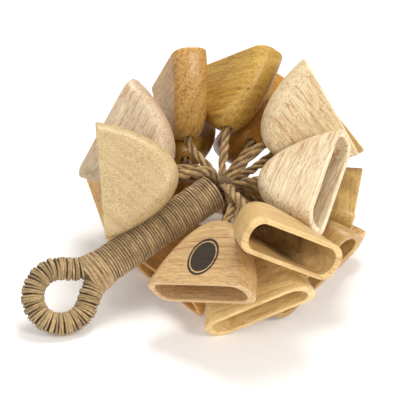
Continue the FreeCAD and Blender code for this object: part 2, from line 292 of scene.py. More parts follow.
def rim_rings(outer, inner):
    """Rings of points over the rounded rim, from the outer wall to the cavity wall."""
    across = inner - outer
    across[:, 2] = 0
    gap = np.linalg.norm(across, axis=1)[:, None]
    across = across / gap

    def level(points, z):
        points = points.copy()
        points[:, 2] = z
        return points

    def quarter(start, direction, radius, angle):
        points = start + direction * (radius * (1 - math.cos(angle)))
        return level(points, SHELL_HEIGHT - radius + radius * math.sin(angle))

    up = [quarter(outer, across, RIM_OUTER, math.pi / 2 * k / RIM_STEPS)
          for k in range(1, RIM_STEPS + 1)]
    down = [quarter(inner, -across, RIM_INNER, math.pi / 2 * (1 - k / RIM_STEPS))
            for k in range(RIM_STEPS)]
    return up + [level(outer + across * (gap * 0.5), SHELL_HEIGHT)] + down


def mesh_from_bmesh(mesh, *steps):
    """Run the bmesh steps on the mesh, then make its normals consistent."""
    bm = bmesh.new()
    bm.from_mesh(mesh)
    for step in steps:
        step(bm)
    bmesh.ops.recalc_face_normals(bm, faces=bm.faces)
    bm.to_mesh(mesh)
    bm.free()


def link_object(name, mesh):
    obj = bpy.data.objects.new(name, mesh)
    bpy.context.scene.collection.objects.link(obj)
    return obj


def hole_cutter():
    """HOLE_PROFILE turned round the shell's Z axis."""
    n = len(HOLE_PROFILE)
    verts, faces = [], []
    for s in range(HOLE_SEGMENTS):
        angle = 2 * math.pi * s / HOLE_SEGMENTS
        verts += [(r * math.cos(angle), r * math.sin(angle), z) for r, z in HOLE_PROFILE]
        t = (s + 1) % HOLE_SEGMENTS
        faces += [[s * n + k, s * n + k + 1, t * n + k + 1, t * n + k] for k in range(n - 1)]
    mesh = bpy.data.meshes.new("hole_cutter")
    mesh.from_pydata(verts, [], faces)
    mesh_from_bmesh(mesh, lambda bm: bmesh.ops.remove_doubles(bm, verts=bm.verts, dist=1e-4))
    return link_object("hole_cutter", mesh)


def master_shell():
    """The mesh that every shell copies: outer wall, cavity, rounded rim and cord hole.
    The face attribute inner is 1 in the cavity."""
    outer = bell_grid(SHELL_WIDTH, SHELL_HEIGHT, SHELL_THICK, OUTER_EDGE, crown=OUTER_CROWN)
    cavity = bell_grid(SHELL_WIDTH - 2 * WALL_END, SHELL_HEIGHT - WALL_DOME,
                       SHELL_THICK - 2 * WALL_FACE, CAVITY_EDGE)
    outer, cavity = stop_short(outer, RIM_OUTER), stop_short(cavity, RIM_INNER)
    rows, columns = outer.shape[:2]
    points = np.concatenate([outer.reshape(-1, 3), cavity.reshape(-1, 3)])
    verts = points.tolist()
    faces, inner = [], []
    outer_index = np.arange(rows * columns).reshape(rows, columns)
    cavity_index = outer_index + rows * columns
    for index, is_cavity in ((outer_index, 0), (cavity_index, 1)):
        for r in range(rows - 1):
            for c in range(columns - 1):
                quad = [index[r, c], index[r, c + 1], index[r + 1, c + 1], index[r + 1, c]]
                faces.append([int(i) for i in (quad[::-1] if is_cavity else quad)])
                inner.append(is_cavity)
    # the mouth's edge is the first column and then the last, reversed
    outer_chain, cavity_chain = (
        [int(i) for i in np.concatenate([index[:, 0], index[::-1, -1]])]
        for index in (outer_index, cavity_index))
    chains = [outer_chain]
    for ring in rim_rings(points[outer_chain], points[cavity_chain]):
        chains.append(list(range(len(verts), len(verts) + len(ring))))
        verts += ring.tolist()
    chains.append(cavity_chain)
    n = len(outer_chain)
    for a, b in zip(chains[:-1], chains[1:]):
        for i in range(n):
            j = (i + 1) % n
            faces.append([a[i], a[j], b[j], b[i]])
            inner.append(0)
    mesh = bpy.data.meshes.new("shell_master")
    mesh.from_pydata(verts, [], faces)
    mesh.update()
    attribute = mesh.attributes.new("inner", "FLOAT", "FACE")
    attribute.data.foreach_set("value", np.array(inner, np.float32))
    mesh_from_bmesh(
        mesh,
        lambda bm: bmesh.ops.remove_doubles(bm, verts=bm.verts, dist=0.004),
        lambda bm: bmesh.ops.dissolve_degenerate(bm, edges=bm.edges, dist=0.003))
    shell = link_object("shell_master", mesh)
    cutter = hole_cutter()
    hole = shell.modifiers.new("hole", "BOOLEAN")
    hole.operation = "DIFFERENCE"
    hole.solver = "EXACT"
    hole.object = cutter
    graph = bpy.context.evaluated_depsgraph_get()
    drilled = bpy.data.meshes.new_from_object(shell.evaluated_get(graph), depsgraph=graph)
    bpy.data.objects.remove(cutter)
    bpy.data.objects.remove(shell)
    return drilled


# ------------------------------------------------------------------ rope meshes
# A rope part is (vertices, faces, UVs, lift). UV x is millimetres along the strand and
# UV y goes once round it. Lift is 1 where the surface stands up and 0 in the grooves;
# the jute shader paints light where lift is high and shade where it is low.
HAIR_RADIUS = 0.06
FLOOR_CLEARANCE = 0.3  # hairs that come lower than this are left out


def path_frames(path, first_normal=None):
    """Tangents, normals and binormals that twist as little as possible along the path."""
    tangents = np.gradient(path, axis=0)
    tangents /= np.linalg.norm(tangents, axis=1)[:, None]
    start = first_normal
    if start is None:
        start = np.cross(tangents[0], [0, 0, 1.0])
    if np.linalg.norm(start) < 1e-3:
        start = np.cross(tangents[0], [0, 1.0, 0])
    normals = [square_to(start, tangents[0])]
    for tangent in tangents[1:]:
        normals.append(square_to(normals[-1], tangent))
    normals = np.array(normals)
    return tangents, normals, np.cross(tangents, normals)


def tube(path, radius, sides, ply=0.0, ply_pitch=5.0, uv_start=0.0, first_normal=None,
         centre=None, lift=None):
    """A capped tube along the path. Ply above 0 gives a two-ply section that turns along
    the length. With a centre, lift is 1 on the side facing away from it and 0 facing it;
    otherwise the wall has the one value given."""
    path = np.asarray(path, float)
    n = len(path)
    tangents, normals, binormals = path_frames(path, first_normal)
    s = arc_length(path)
    radius = np.broadcast_to(np.asarray(radius, float), (n,))
    angles = 2 * math.pi * np.arange(sides) / sides
    out = (normals[:, None, :] * np.cos(angles)[None, :, None]
           + binormals[:, None, :] * np.sin(angles)[None, :, None])
    reach = np.repeat(radius[:, None], sides, 1)
    if ply:
        turn = angles[None, :] - 2 * math.pi * s[:, None] / ply_pitch
        reach = reach * (1 - ply + ply * np.abs(np.cos(turn)) ** 0.7)
    verts = list((path[:, None, :] + out * reach[..., None]).reshape(-1, 3))
    if centre is not None:
        away = path - centre
        away = away - tangents * (away * tangents).sum(1)[:, None]
        away = away / (np.linalg.norm(away, axis=1)[:, None] + 1e-9)
        lifts = ((out * away[:, None, :]).sum(2) * 0.5 + 0.5).reshape(-1).tolist()
    else:
        lifts = [lift] * (n * sides)
    u = s + uv_start
    faces, uvs = [], []
    for i in range(n - 1):
        for k in range(sides):
            j = (k + 1) % sides
            here, after = i * sides, (i + 1) * sides
            faces.append([here + k, here + j, after + j, after + k])
            v0, v1 = k / sides, (k + 1) / sides
            uvs += [(u[i], v0), (u[i], v1), (u[i + 1], v1), (u[i + 1], v0)]
    for i, outwards in ((0, -1), (n - 1, 1)):
        tip = len(verts)
        verts.append(path[i] + tangents[i] * (radius[i] * 0.35 * outwards))
        lifts.append(0.5)
        ring = i * sides
        for k in range(sides):
            j = (k + 1) % sides
            faces.append([tip, ring + j, ring + k] if i == 0 else [tip, ring + k, ring + j])
            uvs += [(u[i], 0.5), (u[i], k / sides), (u[i], (k + 1) / sides)]
    return verts, faces, uvs, lifts


def laid_rope(path, radius, pitch, phase, rng, sides, taper=None):
    """Three strands laid round the path; taper scales them by the fraction of its length."""
    path, s = resample(path, 1.1)
    _, normals, binormals = path_frames(path)
    strand = radius * 0.475
    parts = []
    wobble = rng.uniform(0, 6.28, 4)
    for k in range(3):
        angle = (phase + 2 * math.pi * k / 3 + 2 * math.pi * s / pitch
                 + 0.12 * np.sin(s / 5.0 + wobble[0]))
        scale = 1 + 0.05 * np.sin(s / 3.7 + wobble[k + 1])
        if taper is not None:
            scale = scale * taper(s / s[-1])
        lay = (radius - strand) * scale
        middle = (path + normals * (lay * np.cos(angle))[:, None]
                  + binormals * (lay * np.sin(angle))[:, None])
        thickness = strand * scale * (1.04 + 0.04 * np.sin(s / 2.3 + wobble[(k + 2) % 4]))
        parts.append(tube(middle, thickness, sides, ply=0.12, ply_pitch=11.0,
                          uv_start=rng.uniform(0, 300), centre=path))
    return parts


def hairs(path, radius, count, longest, rng):
    """Loose hairs standing off a rope surface of the given radius round the path."""
    path, _ = resample(path, 0.8)
    tangents, normals, binormals = path_frames(path)
    t = np.linspace(0, 1, 5)
    k = t[:, None]
    parts = []
    for _ in range(count):
        i = rng.integers(1, len(path) - 1)
        angle = rng.uniform(0, 2 * math.pi)
        out = normals[i] * math.cos(angle) + binormals[i] * math.sin(angle)
        forward = tangents[i] * (1 if rng.random() < 0.5 else -1)
        sideways = np.cross(out, forward) * rng.uniform(-0.9, 0.9)
        length = rng.uniform(2.0, longest)
        root = path[i] + out * (radius * 0.86)
        rise = rng.uniform(0.12, 0.45)
        points = (root + (forward + sideways * 0.6) * (length * k)
                  + out * (length * rise * k ** 1.5))
        if points[:, 2].min() < FLOOR_CLEARANCE:
            continue
        parts.append(tube(points, HAIR_RADIUS * (1 - 0.5 * t), sides=3,
                          uv_start=rng.uniform(0, 100), lift=1.0))
    return parts


def uneven(radius, swing, ripple, count, rng):
    """Twine radii along count points, with a slow swing of ripple radians and some noise."""
    return radius * (1 + swing * np.sin(np.linspace(0, ripple, count))
                     + rng.normal(0, 0.02, count))


def add_rope(name, parts, material, body, replaces=None):
    verts, faces, uvs, lifts = [], [], [], []
    for part_verts, part_faces, part_uvs, part_lifts in parts:
        first = len(verts)
        verts += list(part_verts)
        faces += [[i + first for i in face] for face in part_faces]
        uvs += part_uvs
        lifts += part_lifts
    mesh = bpy.data.meshes.new(name)
    mesh.from_pydata([tuple(v) for v in np.array(verts) * MM], [], faces)
    mesh.update()
    mesh.polygons.foreach_set("use_smooth", [True] * len(mesh.polygons))
    layer = mesh.uv_layers.new(name="along")
    layer.data.foreach_set("uv", np.asarray(uvs, np.float32).reshape(-1))
    attribute = mesh.attributes.new("lift", "FLOAT", "POINT")
    attribute.data.foreach_set("value", np.asarray(lifts, np.float32))
    obj = link_object(name, mesh)
    mesh.materials.append(material)
    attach(obj, body)
    if replaces:
        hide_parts(replaces)


# ------------------------------------------------------------------ shader building
class Shader:
    """A material with one Principled shader, and short ways to add nodes before it.
    Every value may be a number, a tuple or another node's output."""

    def __init__(self, name):
        self.material = bpy.data.materials.new(name)
        self.material.use_nodes = True
        self.tree = self.material.node_tree
        self.tree.nodes.clear()
        output = self.node("ShaderNodeOutputMaterial")
        self.principled = self.node("ShaderNodeBsdfPrincipled")
        self.feed(output.inputs[0], self.principled.outputs[0])

    def node(self, kind, **settings):
        node = self.tree.nodes.new(kind)
        for setting, value in settings.items():
            setattr(node, setting, value)
        return node

    def feed(self, socket, value):
        if isinstance(value, bpy.types.NodeSocket):
            self.tree.links.new(value, socket)
        elif socket.type == "RGBA" and isinstance(value, tuple) and len(value) == 3:
            socket.default_value = (*value, 1)
        else:
            socket.default_value = value

    def surface(self, inputs):
        for name, value in inputs.items():
            self.feed(self.principled.inputs[name], value)

    def math(self, operation, *values, clamp=False):
        node = self.node("ShaderNodeMath", operation=operation, use_clamp=clamp)
        for socket, value in zip(node.inputs, values):
            self.feed(socket, value)
        return node.outputs[0]

    def add(self, a, b, clamp=False):
        return self.math("ADD", a, b, clamp=clamp)

    def subtract(self, a, b, clamp=False):
        return self.math("SUBTRACT", a, b, clamp=clamp)

    def multiply(self, a, b, clamp=False):
        return self.math("MULTIPLY", a, b, clamp=clamp)

    def divide(self, a, b):
        return self.math("DIVIDE", a, b)

    def vector_math(self, operation, *values, output="Vector"):
        node = self.node("ShaderNodeVectorMath", operation=operation)
        for socket, value in zip(node.inputs, values):
            self.feed(socket, value)
        return node.outputs[output]

    def mix(self, factor, a, b, mode="MIX"):
        node = self.node("ShaderNodeMix", data_type="RGBA", blend_type=mode, clamp_result=True)
        # sockets 6 and 7 are the colour pair A and B
        for socket, value in ((0, factor), (6, a), (7, b)):
            self.feed(node.inputs[socket], value)
        return node.outputs[2]

    def tint(self, colour, by, amount=1.0):
        """Multiply the colour by another, in part."""
        return self.mix(amount, colour, by, "MULTIPLY")

    def ramp(self, factor, stops):
        node = self.node("ShaderNodeValToRGB")
        elements = node.color_ramp.elements
        while len(elements) < len(stops):
            elements.new(0.5)
        for element, (position, colour) in zip(elements, stops):
            element.position = position
            element.color = (*colour, 1)
        self.feed(node.inputs[0], factor)
        return node.outputs[0]

    def mask(self, factor, low, high):
        """Black up to low, white from high."""
        return self.ramp(factor, [(low, (0, 0, 0)), (high, (1, 1, 1))])

    def coordinates(self):
        return self.node("ShaderNodeTexCoord").outputs["Object"]

    def attribute(self, name):
        return self.node("ShaderNodeAttribute", attribute_name=name).outputs["Fac"]

    def separate(self, vector):
        node = self.node("ShaderNodeSeparateXYZ")
        self.feed(node.inputs[0], vector)
        return node.outputs

    def mapping(self, vector, scale=(1, 1, 1), shift=(0, 0, 0), turn=(0, 0, 0)):
        node = self.node("ShaderNodeMapping")
        node.inputs["Scale"].default_value = scale
        node.inputs["Location"].default_value = shift
        node.inputs["Rotation"].default_value = turn
        self.feed(node.inputs[0], vector)
        return node.outputs[0]

    def noise(self, vector, scale=1.0, detail=3.0, roughness=0.5, distortion=0.0,
              output="Fac"):
        node = self.node("ShaderNodeTexNoise")
        node.inputs["Scale"].default_value = scale
        node.inputs["Detail"].default_value = detail
        node.inputs["Roughness"].default_value = roughness
        node.inputs["Distortion"].default_value = distortion
        self.feed(node.inputs["Vector"], vector)
        return node.outputs[output]

    def bump(self, height, strength, distance):
        node = self.node("ShaderNodeBump")
        node.inputs["Strength"].default_value = strength
        node.inputs["Distance"].default_value = distance
        self.feed(node.inputs["Height"], height)
        return node.outputs[0]


def linear(colour):
    """sRGB 0-1 to linear."""
    return tuple(x / 12.92 if x <= 0.04045 else ((x + 0.055) / 1.055) ** 2.4 for x in colour)


def blend(a, b, amount):
    return tuple(x * (1 - amount) + y * amount for x, y in zip(a, b))


# ------------------------------------------------------------------ wood
# Colours are sRGB. Streak, pores and rings are the strengths of those marks.
Look = namedtuple("Look", "light dark streak pores rings roughness")
# The darker, more orange tones of shells 12, 13, 17, 19 and 20 are partly natural variation and
# partly painted shade: they were set to the colours these shells show in the cluster's shade.
LOOKS = {
    "01": ((0.839, 0.770, 0.605), (0.633, 0.468, 0.241), 0.25, 0.85, 0.30, 0.36),
    "02": ((0.865, 0.807, 0.703), (0.665, 0.478, 0.321), 0.75, 0.55, 0.50, 0.32),
    "03": ((0.831, 0.676, 0.393), (0.560, 0.359, 0.159), 0.95, 0.95, 0.45, 0.40),
    "04": ((0.841, 0.705, 0.364), (0.531, 0.318, 0.133), 0.75, 0.80, 0.60, 0.36),
    "05": ((0.960, 0.919, 0.780), (0.800, 0.555, 0.270), 0.75, 0.60, 0.40, 0.30),
    "06": ((0.926, 0.894, 0.780), (0.765, 0.532, 0.262), 0.85, 0.60, 0.40, 0.34),
    "07": ((0.877, 0.764, 0.531), (0.604, 0.387, 0.195), 0.50, 0.45, 0.55, 0.32),
    "08": ((0.863, 0.751, 0.555), (0.690, 0.455, 0.287), 0.70, 0.35, 0.65, 0.36),
    "09": ((0.970, 0.864, 0.618), (0.677, 0.454, 0.215), 0.45, 0.45, 0.45, 0.26),
    "10": ((0.925, 0.735, 0.420), (0.636, 0.421, 0.189), 0.50, 0.50, 0.45, 0.36),
    "11": ((0.932, 0.778, 0.548), (0.630, 0.451, 0.279), 0.40, 0.60, 0.40, 0.34),
    "12": ((0.731, 0.572, 0.242), (0.465, 0.283, 0.097), 0.50, 0.70, 0.45, 0.40),
    "13": ((0.786, 0.579, 0.221), (0.509, 0.307, 0.082), 0.50, 0.70, 0.45, 0.40),
    "14": ((0.818, 0.690, 0.422), (0.568, 0.374, 0.174), 0.55, 0.60, 0.45, 0.36),
    "15": ((0.827, 0.706, 0.441), (0.563, 0.373, 0.178), 0.60, 0.60, 0.50, 0.36),
    "16": ((0.880, 0.742, 0.502), (0.640, 0.434, 0.232), 0.75, 0.50, 0.45, 0.36),
    "17": ((0.829, 0.681, 0.415), (0.578, 0.364, 0.164), 0.55, 0.60, 0.50, 0.38),
    "18": ((0.766, 0.636, 0.406), (0.542, 0.365, 0.175), 0.60, 0.50, 0.45, 0.32),
    "19": ((0.779, 0.579, 0.275), (0.533, 0.329, 0.115), 0.50, 0.55, 0.45, 0.36),
    "20": ((0.840, 0.652, 0.304), (0.585, 0.378, 0.129), 0.55, 0.55, 0.50, 0.36),
}
DARK_WARMTH = (0.84, 0.78, 0.68)  # factors that deepen the dark tone
# CAVITY_TONE also sets the level of the painted shade in the cavity
CAVITY_TONE = 0.9                 # brightness of the cavity, with the shells that differ
CAVITY_TONES = {"07": 1.12, "06": 1.0, "08": 1.05, "09": 1.0}
# Cavity stains: centre (x, y, z), radius, strength
STAINS = {"07": [
    ((-26, 0, 20), 15, 0.85), ((14, -10, 40), 20, 1.0),
    ((14, 10, 40), 20, 1.0), ((2, -8, 30), 24, 0.5),
]}
STAIN_COLOUR = linear((0.27, 0.16, 0.08))
STAIN_WANDER = 14.0
# Dark oval on a shell's face: centre and radii in X and Z, and which Y face it is on
Oval = namedtuple("Oval", "x z radius_x radius_z side")
OVALS = {"08": Oval(2.0, 41.0, 14.0, 17.5, 1.0)}
OVAL_COLOUR = linear((0.12, 0.10, 0.10))
FIBRE_ALONG_Y = {"01"}            # the other shells have their fibre along X


def growth_rings(shader, grain, slant):
    """Bands across the grain, cut at the slant angle."""
    axes = shader.separate(grain)
    across = shader.add(shader.multiply(axes["Y"], math.cos(slant)),
                        shader.multiply(axes["Z"], math.sin(slant)))
    node = shader.node("ShaderNodeTexNoise", noise_dimensions="1D")
    node.inputs["Scale"].default_value = 0.17
    node.inputs["Detail"].default_value = 3.0
    node.inputs["Roughness"].default_value = 0.6
    shader.feed(node.inputs["W"], across)
    return node.outputs["Fac"]


def wood_tone(shader, look, bands, streaks, blotches):
    """Light to dark wood by the sum of bands, streaks and blotches about its mean."""
    band_weight = 0.5 * look.rings + 0.1
    streak_weight = 0.6 * look.streak + 0.1
    blotch_weight = 0.22
    mean = (band_weight + streak_weight + blotch_weight) * 0.5
    tone = shader.add(shader.multiply(bands, band_weight),
                      shader.multiply(streaks, streak_weight))
    tone = shader.add(tone, shader.multiply(blotches, blotch_weight))
    contrast, level = 2.6, 0.40
    tone = shader.multiply(shader.subtract(tone, mean), contrast)
    tone = shader.add(tone, level, clamp=True)
    light = linear(look.light)
    dark = tuple(c * warmth for c, warmth in zip(linear(look.dark), DARK_WARMTH))
    return shader.ramp(tone, [
        (0.0, light), (0.35, blend(light, dark, 0.14)), (0.62, blend(light, dark, 0.42)),
        (0.85, blend(light, dark, 0.85)), (1.0, dark)])


def paint_cavity_shade(shader, colour, inner, z, tone):
    """Paint shade into the cavity: darker towards the dome, a little lighter at the mouth."""
    depth = shader.ramp(shader.divide(z, SHELL_HEIGHT), [
        (0.12, (tone * 0.62, tone * 0.54, tone * 0.46)),
        (0.6, (tone * 0.93, tone * 0.88, tone * 0.82)),
        (1.0, (min(1, tone * 1.1), min(1, tone * 1.08), min(1, tone * 1.04)))])
    return shader.mix(inner, colour, shader.tint(colour, depth))


def stain_cavity(shader, colour, position, inner, stains):
    """Soft-edged dark patches, their outlines pushed about by noise."""
    wander = shader.noise(position, scale=0.10, detail=4, output="Color")
    moved = shader.vector_math("MULTIPLY_ADD", wander, (STAIN_WANDER,) * 3, position)
    for centre, radius, strength in stains:
        # the noise averages one half, so the centre moves by half the wander
        middle = tuple(c + STAIN_WANDER / 2 for c in centre)
        distance = shader.vector_math("DISTANCE", moved, middle, output="Value")
        patch = shader.subtract(1.0, shader.divide(distance, radius), clamp=True)
        patch = shader.multiply(shader.math("POWER", patch, 0.7), inner)
        patch = shader.multiply(patch, strength, clamp=True)
        colour = shader.mix(patch, colour, STAIN_COLOUR)
    return colour


def mark_oval(shader, colour, axes, fine, inner, oval):
    """A dark oval on one outer face, with one thin ring left pale."""
    across = shader.divide(shader.subtract(axes["X"], oval.x), oval.radius_x)
    up = shader.divide(shader.subtract(axes["Z"], oval.z), oval.radius_z)
    radius = shader.math("SQRT", shader.add(shader.multiply(across, across),
                                            shader.multiply(up, up)))
    ragged = shader.multiply(shader.subtract(fine, 0.5), 0.05)
    radius = shader.add(radius, ragged)
    on_face = shader.math("GREATER_THAN", shader.multiply(axes["Y"], oval.side), 8.0)
    inside = shader.math("LESS_THAN", radius, 1.0)
    pale_ring = shader.multiply(shader.math("GREATER_THAN", radius, 0.80),
                                shader.math("LESS_THAN", radius, 0.87))
    mark = shader.multiply(shader.multiply(inside, shader.subtract(1.0, pale_ring)), on_face)
    mark = shader.multiply(mark, shader.subtract(1.0, inner))
    return shader.mix(shader.multiply(mark, 0.95), colour, OVAL_COLOUR)


def wood_material(number):
    """Lacquered pale hardwood, bare in the cavity."""
    look = Look(*LOOKS[number])
    along_y = number in FIBRE_ALONG_Y
    rng = random.Random(int(number) * 13 + 5)
    shader = Shader("wood_" + number)
    position = shader.coordinates()
    shift = tuple(rng.uniform(-400, 400) for _ in range(3))
    turn_x, turn_y, turn_z = (rng.uniform(-most, most) for most in (0.15, 0.09, 0.09))
    if along_y:
        turn_z += 1.45
    base = shader.mapping(position, shift=shift, turn=(turn_x, turn_y, turn_z))
    # the grain wanders a little along its length
    drift = shader.noise(shader.mapping(base, scale=(0.016, 0.02, 0.02)), detail=2.0,
                         output="Color")
    grain = shader.vector_math("MULTIPLY_ADD", drift, (0.0, 9.0, 9.0), base)

    def grain_noise(along, across, detail, roughness, shift=(0, 0, 0)):
        vector = shader.mapping(grain, scale=(along, across, across), shift=shift)
        return shader.noise(vector, detail=detail, roughness=roughness)

    def darken(colour, marks, amount, by):
        return shader.tint(colour, by, shader.multiply(marks, amount, clamp=True))

    bands = growth_rings(shader, grain, slant=rng.uniform(0.3, 1.2))
    streaks = grain_noise(along=0.009, across=0.42, detail=4.0, roughness=0.65)
    fine = grain_noise(along=0.030, across=2.3, detail=2.0, roughness=0.6)
    dashes = grain_noise(along=0.115, across=1.05 if along_y else 1.75, detail=2.5,
                         roughness=0.6, shift=(3, 9, 1))
    lines = grain_noise(along=0.0045, across=0.95, detail=2.0, roughness=0.5,
                        shift=(17, 3, 8))
    blotches = shader.noise(shader.mapping(base, scale=(0.020, 0.035, 0.035)),
                            roughness=0.55)
    colour = wood_tone(shader, look, bands, streaks, blotches)
    fine_tint = shader.ramp(fine, [(0.36, (1.06, 1.06, 1.06)), (0.64, (0.80, 0.67, 0.50))])
    colour = shader.tint(colour, fine_tint, 0.6)
    # pores: short dark dashes along the fibre, dots on the end grain
    pores = shader.mask(dashes, 0.565, 0.635)
    colour = darken(colour, pores, 0.95 * look.pores, by=(0.52, 0.34, 0.20))
    # thin dark lines that run the length of the fibre
    colour = darken(colour, shader.mask(lines, 0.585, 0.64), 0.85 * look.streak,
                    by=(0.60, 0.40, 0.24))
    # long mineral streaks
    mineral = grain_noise(along=0.006, across=0.30, detail=3.0, roughness=0.6,
                          shift=(31, 7, 5))
    colour = darken(colour, shader.mask(mineral, 0.58, 0.68), 0.80 * look.streak,
                    by=(0.74, 0.55, 0.36))
    inner = shader.attribute("inner")
    axes = shader.separate(position)
    # painted shade: the cavity darkens towards the dome
    colour = paint_cavity_shade(shader, colour, inner, axes["Z"],
                         CAVITY_TONES.get(number, CAVITY_TONE))
    # painted highlight: the edge of the mouth is painted paler and whiter
    rim = shader.ramp(shader.divide(axes["Z"], SHELL_HEIGHT),
                      [(0.978, (1.0, 1.0, 1.0)), (0.992, (1.16, 1.18, 1.22))])
    colour = shader.tint(colour, rim)
    if number in STAINS:
        colour = stain_cavity(shader, colour, position, inner, STAINS[number])
    if number in OVALS:
        colour = mark_oval(shader, colour, axes, fine, inner, OVALS[number])
    # roughness varies with the fine grain and in soft patches; the cavity is duller
    patches = shader.noise(shader.mapping(base, scale=(0.05, 0.05, 0.05)))
    roughness = shader.add(shader.multiply(fine, 0.14), look.roughness - 0.07)
    roughness = shader.add(roughness, shader.multiply(patches, 0.14))
    roughness = shader.add(roughness, shader.multiply(inner, 0.30), clamp=True)
    # fine grain and pores are sunk; the cavity has carved waves
    carving = shader.noise(shader.mapping(position, scale=(0.10, 0.5, 0.16)), detail=2.0)
    height = shader.add(shader.multiply(fine, -0.35), shader.multiply(pores, -0.8))
    height = shader.add(height, shader.multiply(shader.multiply(carving, inner), 2.2))
    shader.surface({
        "Base Color": colour,
        "Roughness": roughness,
        "Coat Weight": shader.subtract(0.16, shader.multiply(inner, 0.15), clamp=True),
        "Coat Roughness": 0.18,
        "Specular IOR Level": 0.36,
        "Normal": shader.bump(height, strength=0.4, distance=0.00025),
    })
    return shader.material


# ------------------------------------------------------------------ jute
def jute_material(name, light, dark, seed, lay=0.9, groove=1.0):
    """Jute yarn over the along UV map. Lay twists the fibres; groove deepens the painted shade
    between strands."""
    shader = Shader(name)
    position = shader.coordinates()
    uv = shader.separate(shader.node("ShaderNodeUVMap", uv_map="along").outputs[0])
    # wrapping the strand's turn round a circle hides the UV seam
    turn = shader.add(shader.multiply(uv["Y"], 1.0), shader.multiply(uv["X"], 0.06 * lay))
    angle = shader.multiply(turn, 2 * math.pi)
    combine = shader.node("ShaderNodeCombineXYZ")
    shader.feed(combine.inputs[0], shader.multiply(uv["X"], 0.16))
    shader.feed(combine.inputs[1], shader.multiply(shader.math("COSINE", angle), 2.2))
    shader.feed(combine.inputs[2], shader.multiply(shader.math("SINE", angle), 2.2))
    strand = combine.outputs[0]
    coarse = shader.noise(strand, scale=1.6, detail=5.0, roughness=0.65, distortion=0.4)
    fine = shader.noise(shader.mapping(strand, scale=(0.6, 3.4, 3.4)), scale=1.6,
                        detail=3.0, roughness=0.6)
    patches = shader.noise(
        shader.mapping(position, scale=(150, 150, 150), shift=(seed, 0, 0)),
        detail=4.0, roughness=0.7)
    tone = shader.add(shader.multiply(coarse, 0.60), shader.multiply(fine, 0.32))
    tone = shader.add(tone, shader.multiply(patches, 0.30))
    mean, contrast = 0.61, 2.4
    tone = shader.multiply(shader.subtract(tone, mean), contrast)
    tone = shader.add(tone, 0.5, clamp=True)
    light, dark = linear(light), linear(dark)
    colour = shader.ramp(tone, [(0.0, dark), (0.5, blend(light, dark, 0.5)), (1.0, light)])

    # painted light and shade: each turn and strand is painted pale where it stands up and dark in
    # the grooves
    def shade(r, g, b):
        return tuple(c * groove + 1.0 - groove for c in (r, g, b))

    ragged = shader.multiply(shader.subtract(coarse, 0.5), 0.35)
    lift = shader.add(shader.attribute("lift"), ragged, clamp=True)
    colour = shader.tint(colour, shader.ramp(lift, [
        (0.30, shade(0.16, 0.115, 0.07)), (0.62, shade(0.50, 0.43, 0.35)),
        (0.85, shade(0.92, 0.90, 0.88)), (1.0, (1.0, 1.0, 1.0))]))
    # one length of yarn differs from the next
    yarn = shader.noise(shader.mapping(strand, scale=(0.22, 0.02, 0.02)), detail=2.0)
    colour = shader.tint(colour, shader.ramp(yarn, [
        (0.33, (0.60, 0.57, 0.53)), (0.50, (0.96, 0.94, 0.91)), (0.68, (1.32, 1.30, 1.25))]))
    # pale and dark hairs show as specks
    specks = shader.noise(shader.mapping(strand, scale=(0.75, 2.2, 2.2)), detail=2.0,
                          roughness=0.6)
    colour = shader.tint(colour, shader.ramp(specks, [
        (0.34, (0.62, 0.58, 0.52)), (0.50, (1.0, 1.0, 1.0)), (0.66, (1.36, 1.36, 1.34))]))
    palest = (0.82, 0.78, 0.70)
    height = shader.add(shader.multiply(coarse, 0.7), fine)
    shader.surface({
        "Base Color": shader.vector_math("MINIMUM", colour, palest),
        "Roughness": shader.add(shader.multiply(fine, 0.2), 0.78, clamp=True),
        "Sheen Weight": 0.25,
        "Sheen Roughness": 0.5,
        "Specular IOR Level": 0.25,
        "Normal": shader.bump(height, strength=0.9, distance=0.0005),
    })
    return shader.material


def core_material():
    """Dark bundled fibre."""
    shader = Shader("jute_core")
    fibre = shader.noise(shader.mapping(shader.coordinates(), scale=(260, 420, 420)),
                         detail=4.0, roughness=0.6)
    shader.surface({
        "Base Color": shader.ramp(fibre, [
            (0.3, linear((0.22, 0.16, 0.10))), (0.7, linear((0.42, 0.33, 0.22)))]),
        "Roughness": shader.add(shader.multiply(fibre, 0.15), 0.8, clamp=True),
        "Normal": shader.bump(fibre, strength=0.7, distance=0.0006),
    })
    return shader.material


# ------------------------------------------------------------------ shells
def sanded(points, rng):
    """Hand sanding: the shape wanders by a few tenths of a millimetre, mostly inwards."""
    points = points.copy()
    x, y, z = points.T
    phase = rng.uniform(0, 6.28, 6)
    wave = 0.16 * (np.sin(x / 17 + phase[0]) * np.cos(z / 15 + phase[1])
                   + 0.6 * np.sin(x / 7 + phase[2]) * np.sin(z / 9 + phase[3]))
    y *= 1 - (wave + 0.2) / SHELL_THICK
    x *= 1 - (0.10 * np.sin(z / 12 + phase[4]) + 0.12) / SHELL_WIDTH
    return points


def build_shells():
    master = master_shell()
    master_points = np.zeros(len(master.vertices) * 3)
    master.vertices.foreach_get("co", master_points)
    master_points = master_points.reshape(-1, 3)
    for number, place in PLACES.items():
        name = "shell_" + number + "_wood"
        mesh = master.copy()
        mesh.name = name
        points = sanded(master_points, np.random.default_rng(int(number) * 17))
        mesh.vertices.foreach_set("co", points.reshape(-1))
        mesh.update()
        shell = link_object(name, mesh)
        shell.matrix_world = shell_matrix(place)
        mesh.polygons.foreach_set("use_smooth", [True] * len(mesh.polygons))
        mesh.materials.clear()
        mesh.materials.append(wood_material(number))
        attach(shell, "shell_%s_on_cord" % number)
        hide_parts("shell_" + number)


